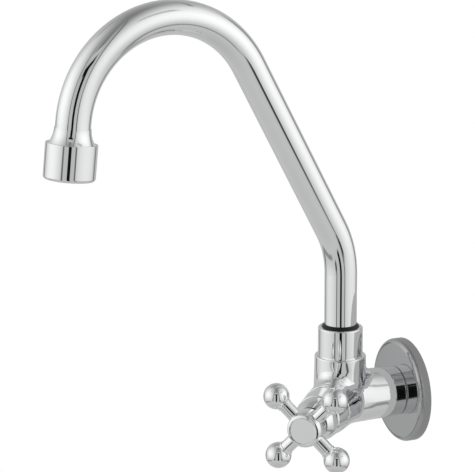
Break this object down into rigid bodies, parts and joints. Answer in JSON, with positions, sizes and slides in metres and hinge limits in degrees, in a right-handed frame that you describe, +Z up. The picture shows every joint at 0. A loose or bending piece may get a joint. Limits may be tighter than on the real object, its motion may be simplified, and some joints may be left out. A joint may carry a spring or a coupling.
{
  "type": "wall-mounted kitchen tap",
  "caption": "Chromed wall tap: round wall flange, angled body, cross handle with ball ends, and a tall bent spout that swivels and ends in a screwed aerator.",
  "frame": {"origin": "centre of the inlet thread, in the plane of the finished wall face", "axes": "+Z is up, +Y runs along the inlet into the wall, so the tap stands out along -Y; +X is to the right for someone facing the wall, and the handle is on that side"},
  "size_m": [0.0925, 0.2379, 0.2732],
  "materials": {
    "chrome": "polished chrome plate on brass",
    "brass": "turned brass",
    "stainless_steel": "plain stainless steel",
    "rubber": "matt black rubber",
    "black_plastic": "moulded black acetal",
    "fibre": "pressed red fibre",
    "white_plastic": "moulded white acetal"
  },
  "bodies": {
    "body": {"valve_body": "chrome", "wall_flange": "chrome", "flange_gasket": "rubber", "valve_seat": "brass", "headwork_body": "brass", "headwork_gasket": "fibre", "bonnet_cover": "chrome", "swivel_nut": "chrome", "spout_collar": "black_plastic", "thrust_washer": "white_plastic", "spindle_glide_ring": "white_plastic", "spindle_washer": "white_plastic"},
    "spout": {"spout_tube": "chrome", "spout_ferrule": "brass", "spout_retaining_ring": "stainless_steel", "spout_o_ring_upper": "rubber", "spout_o_ring_lower": "rubber", "outlet_adapter": "chrome", "aerator_cap": "chrome", "aerator_gasket": "rubber", "aerator_housing": "white_plastic", "aerator_diffuser": "white_plastic", "aerator_screen_upper": "stainless_steel", "aerator_screen_lower": "stainless_steel", "flow_straightener": "white_plastic"},
    "handle": {"spindle": "brass", "spindle_o_ring_inner": "rubber", "spindle_o_ring_outer": "rubber", "spindle_circlip": "stainless_steel", "handle_hub": "chrome", "handle_arm_1": "chrome", "handle_arm_2": "chrome", "handle_arm_3": "chrome", "handle_arm_4": "chrome", "handle_ball_1": "chrome", "handle_ball_2": "chrome", "handle_ball_3": "chrome", "handle_ball_4": "chrome", "handle_screw": "stainless_steel", "handle_screw_washer": "stainless_steel", "index_button": "chrome"},
    "plunger": {"valve_plunger": "brass", "seat_washer": "rubber", "washer_screw": "stainless_steel"}
  },
  "joints": [
    {"name": "spout_swivel", "type": "hinge", "parent": "body", "child": "spout", "pos_m": [0, -0.0445, 0], "axis": [0, 0, 1], "range_deg": [-98.5, 81.5]},
    {"name": "handle_turn", "type": "hinge", "parent": "body", "child": "handle", "pos_m": [0, -0.0445, 0], "axis": [0.7071, -0.7071, 0], "range_deg": [0, 900]},
    {"name": "plunger_slide", "type": "slide", "parent": "body", "child": "plunger", "axis": [0.7071, -0.7071, 0], "range_m": [0, 0.00438]}
  ],
  "couplings": [
    {"joint": "plunger_slide", "follows": "handle_turn", "m_per_rad": 0.00027852}
  ]
}
